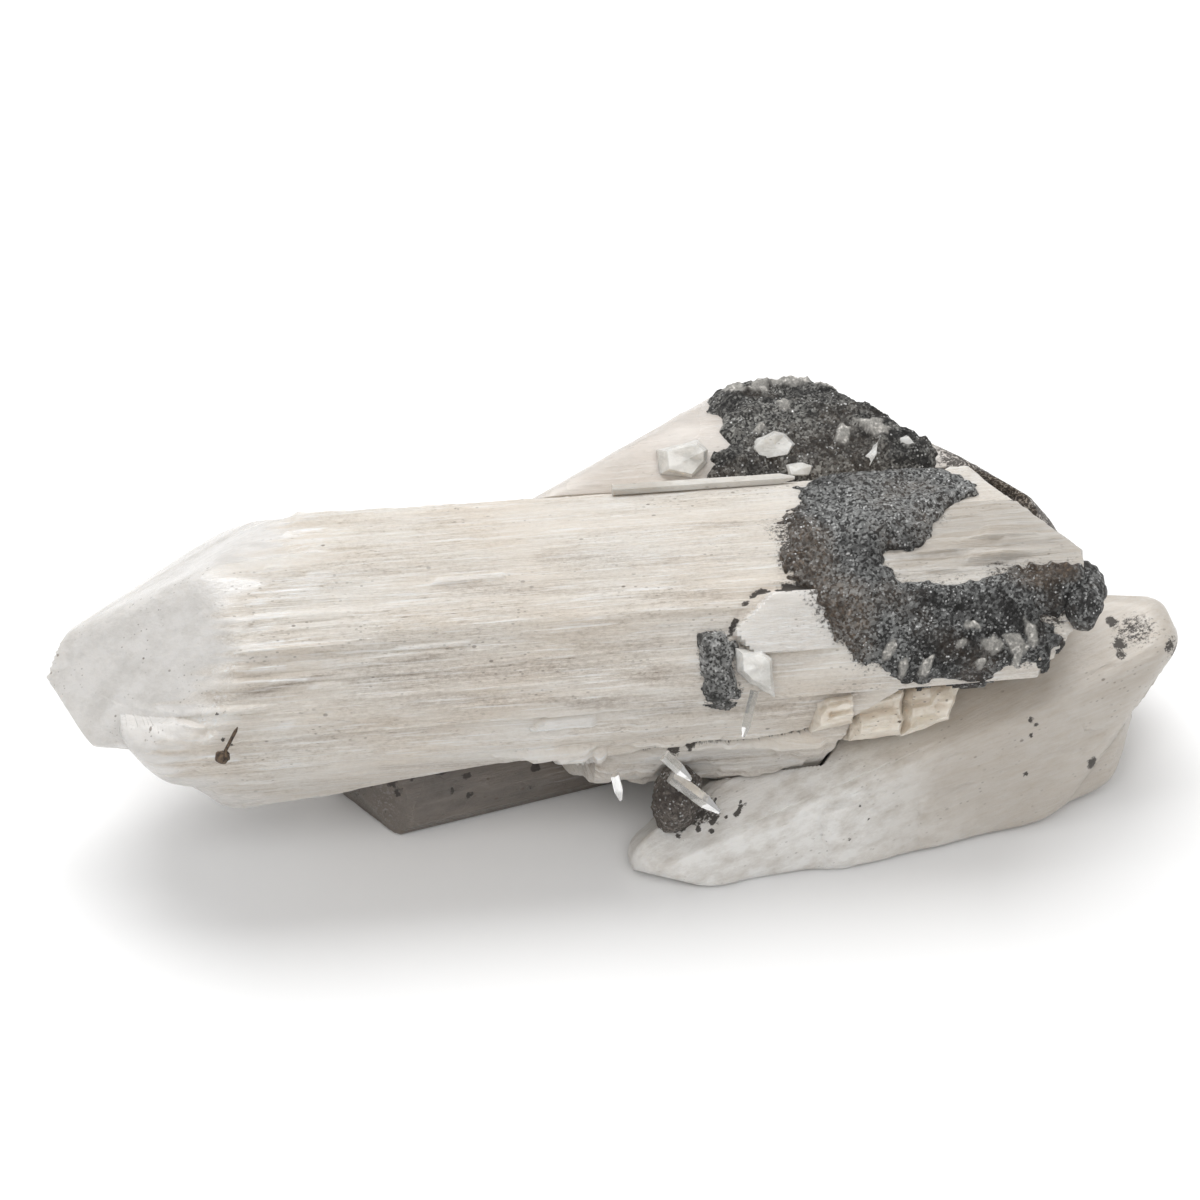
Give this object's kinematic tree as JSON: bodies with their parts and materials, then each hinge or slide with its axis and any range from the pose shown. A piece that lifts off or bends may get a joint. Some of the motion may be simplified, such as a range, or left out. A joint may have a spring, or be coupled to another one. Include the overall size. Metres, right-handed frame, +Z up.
{
  "type": "danburite crystal specimen",
  "caption": "Natural specimen of long striated danburite crystals grown together, with grey rock crusts and small clear crystals, lying on its own flats.",
  "frame": {"origin": "middle of the footprint, on the surface that the specimen lies on", "axes": "+X along the specimen from the wedge tip to the stepped end, +Y away from its front, +Z up"},
  "size_m": [0.1496, 0.0798, 0.0435],
  "materials": {
    "danburite": "satin",
    "white_danburite": "glossy",
    "clear_danburite": "glossy",
    "rock": "matte",
    "seed": "matte"
  },
  "bodies": {
    "root": {"main_crystal": "danburite", "back_crystal": "danburite", "front_crystal": "danburite", "under_crystal": "danburite", "front_matrix": "rock", "back_matrix": "rock", "pocket_druse": "rock", "pale_block": "white_danburite", "clear_prism": "clear_danburite", "edge_prism": "clear_danburite", "hanging_crystal_1": "clear_danburite", "hanging_crystal_2": "clear_danburite", "hanging_crystal_3": "clear_danburite", "hanging_mass": "rock", "cream_block_1": "danburite", "cream_block_2": "danburite", "cream_block_3": "danburite", "back_block_1": "white_danburite", "back_block_2": "white_danburite", "back_block_3": "white_danburite", "back_block_4": "white_danburite", "back_block_5": "white_danburite", "seed": "seed"}
  },
  "joints": []
}
